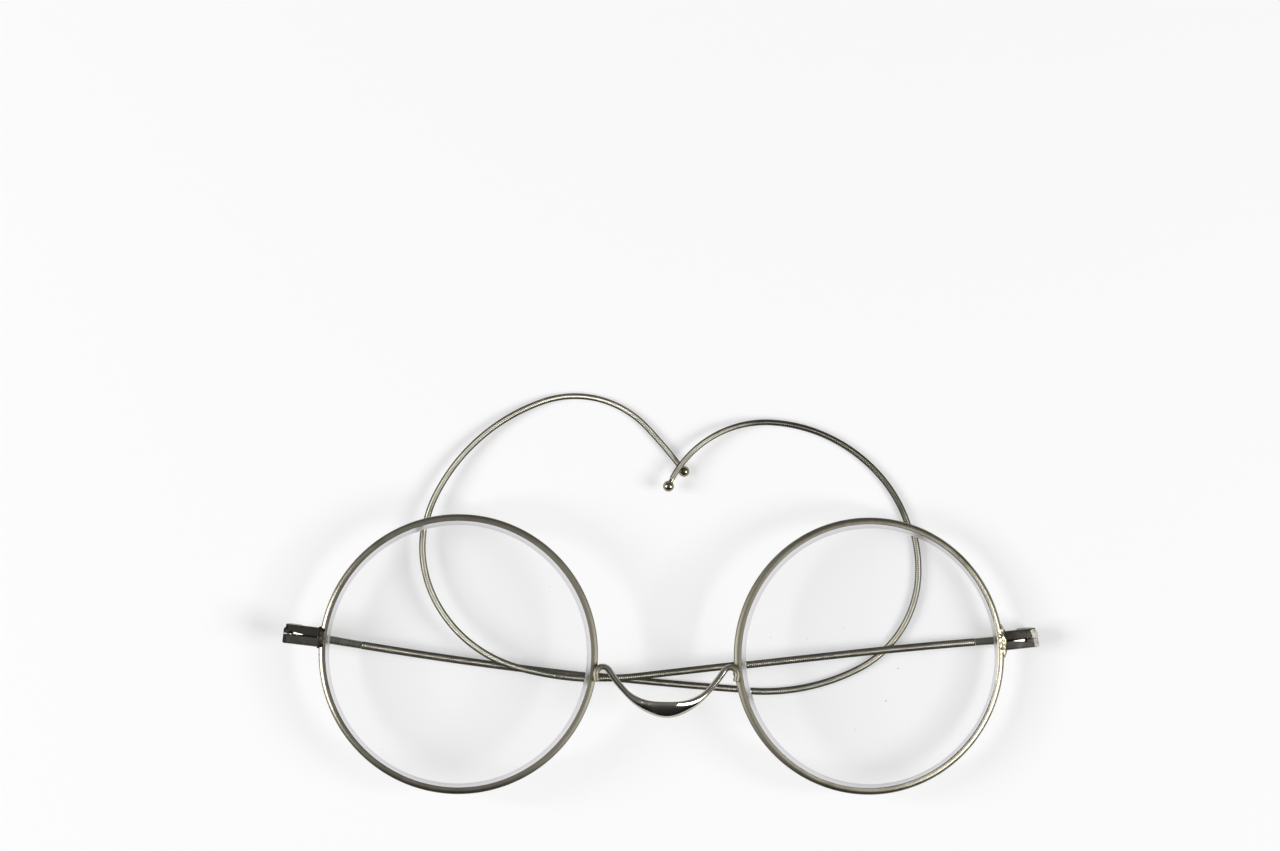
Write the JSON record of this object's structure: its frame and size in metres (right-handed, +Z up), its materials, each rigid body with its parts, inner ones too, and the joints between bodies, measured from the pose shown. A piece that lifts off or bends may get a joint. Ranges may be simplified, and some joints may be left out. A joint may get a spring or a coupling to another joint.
{
  "type": "wire-rim spectacles",
  "caption": "Round wire-rim spectacles with clear glass lenses, a saddle bridge and hinged cable temples that curl round the ear, lying folded.",
  "frame": {"origin": "on the table, under the middle of the folded pair's bounding box", "axes": "+X along the front towards the right end piece, +Y towards the ear curls, +Z up, the way the front of the lenses faces"},
  "size_m": [0.1194, 0.0626, 0.0131],
  "materials": {
    "frame_metal": "worn nickel silver, warm grey, lightly tarnished",
    "cable_wire": "fine wound wire, warm grey, dull in the turns",
    "screw_steel": "plain slotted screw, dull",
    "lens_glass": "clear polished glass with a few specks"
  },
  "bodies": {
    "front": {"bridge": "frame_metal", "left_rim": "frame_metal", "left_lens": "lens_glass", "left_end_piece_upper": "frame_metal", "left_end_piece_lower": "frame_metal", "left_hinge_screw": "screw_steel", "right_rim": "frame_metal", "right_lens": "lens_glass", "right_end_piece_upper": "frame_metal", "right_end_piece_lower": "frame_metal", "right_hinge_screw": "screw_steel"},
    "left_temple": {"left_temple_butt": "frame_metal", "left_temple_core": "cable_wire", "left_temple_winding": "cable_wire", "left_temple_tip": "frame_metal"},
    "right_temple": {"right_temple_butt": "frame_metal", "right_temple_core": "cable_wire", "right_temple_winding": "cable_wire", "right_temple_tip": "frame_metal"}
  },
  "joints": [
    {"name": "left_temple_hinge", "type": "hinge", "parent": "front", "child": "left_temple", "pos_m": [-0.05798, -0.00678, 0.00441], "axis": [0.1095, 0.9936, -0.028], "range_deg": [0, 90]},
    {"name": "right_temple_hinge", "type": "hinge", "parent": "front", "child": "right_temple", "pos_m": [0.05782, -0.00689, 0.00137], "axis": [0.109, -0.9938, 0.0223], "range_deg": [0, 90]}
  ]
}
